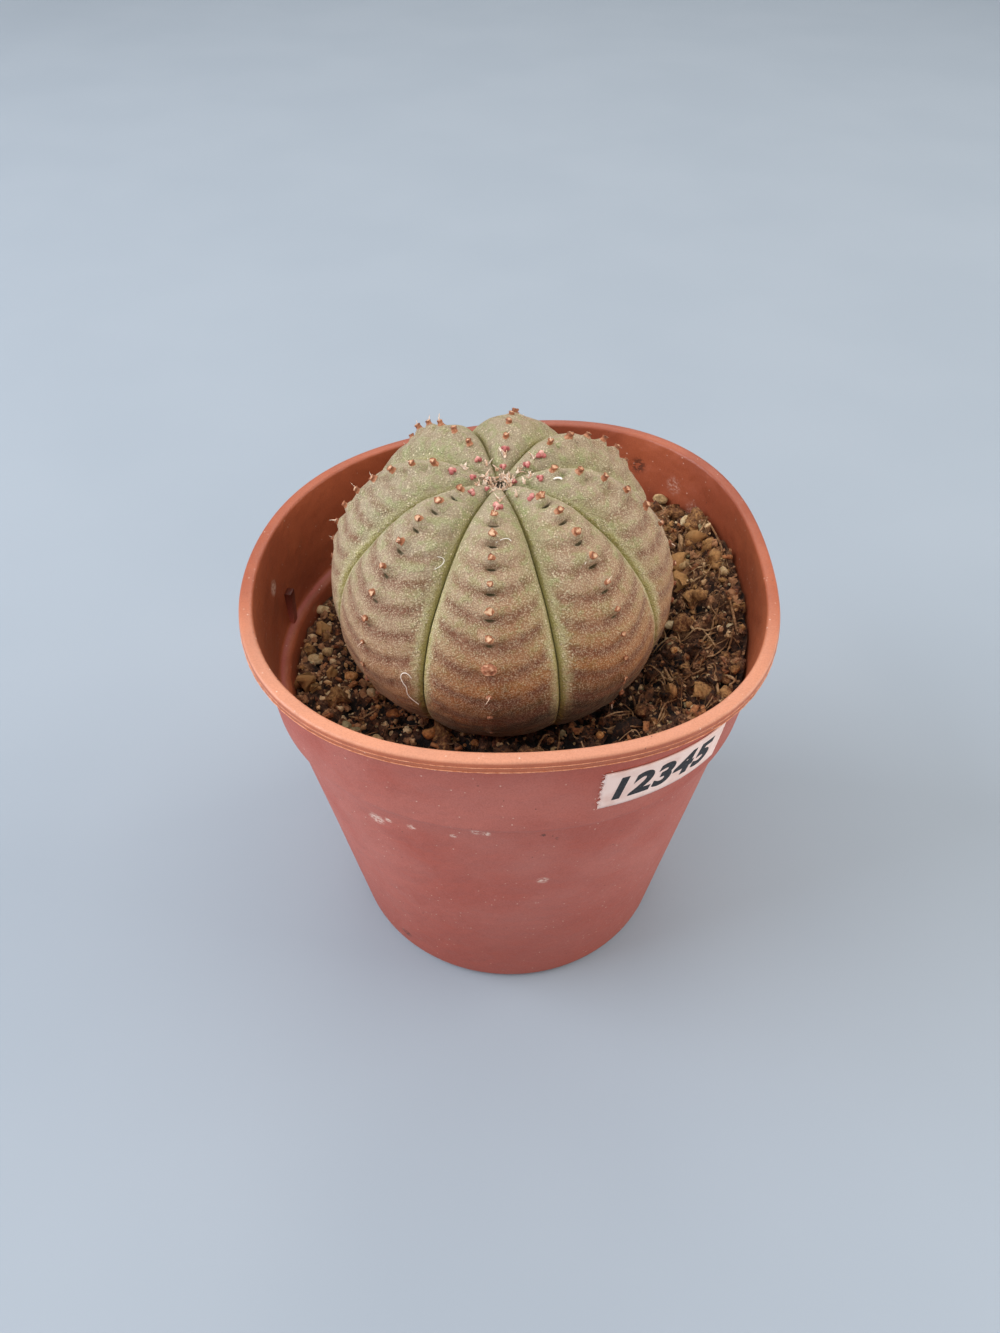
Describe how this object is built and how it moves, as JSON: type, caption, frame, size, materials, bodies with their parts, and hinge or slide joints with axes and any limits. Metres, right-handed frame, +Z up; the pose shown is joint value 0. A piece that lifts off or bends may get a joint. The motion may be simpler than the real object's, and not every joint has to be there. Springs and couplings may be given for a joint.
{
  "type": "potted baseball plant",
  "caption": "Round ribbed succulent with dried flower stubs along its ribs, rooted in gritty soil in a small tapered plastic nursery pot with a paper sticker.",
  "frame": {"origin": "on the surface that the pot stands on, under the middle of its rim", "axes": "+Z up; +Y away from the side that shows the sticker, +X to the right as seen from that side"},
  "size_m": [0.0586, 0.0592, 0.0684],
  "materials": {
    "terracotta_plastic": "satin",
    "label_paper": "matte",
    "potting_mix": "matte",
    "plant_skin": "matte"
  },
  "bodies": {
    "root": {"pot": "terracotta_plastic", "label": "label_paper", "soil": "potting_mix", "plant": "plant_skin"}
  },
  "joints": []
}
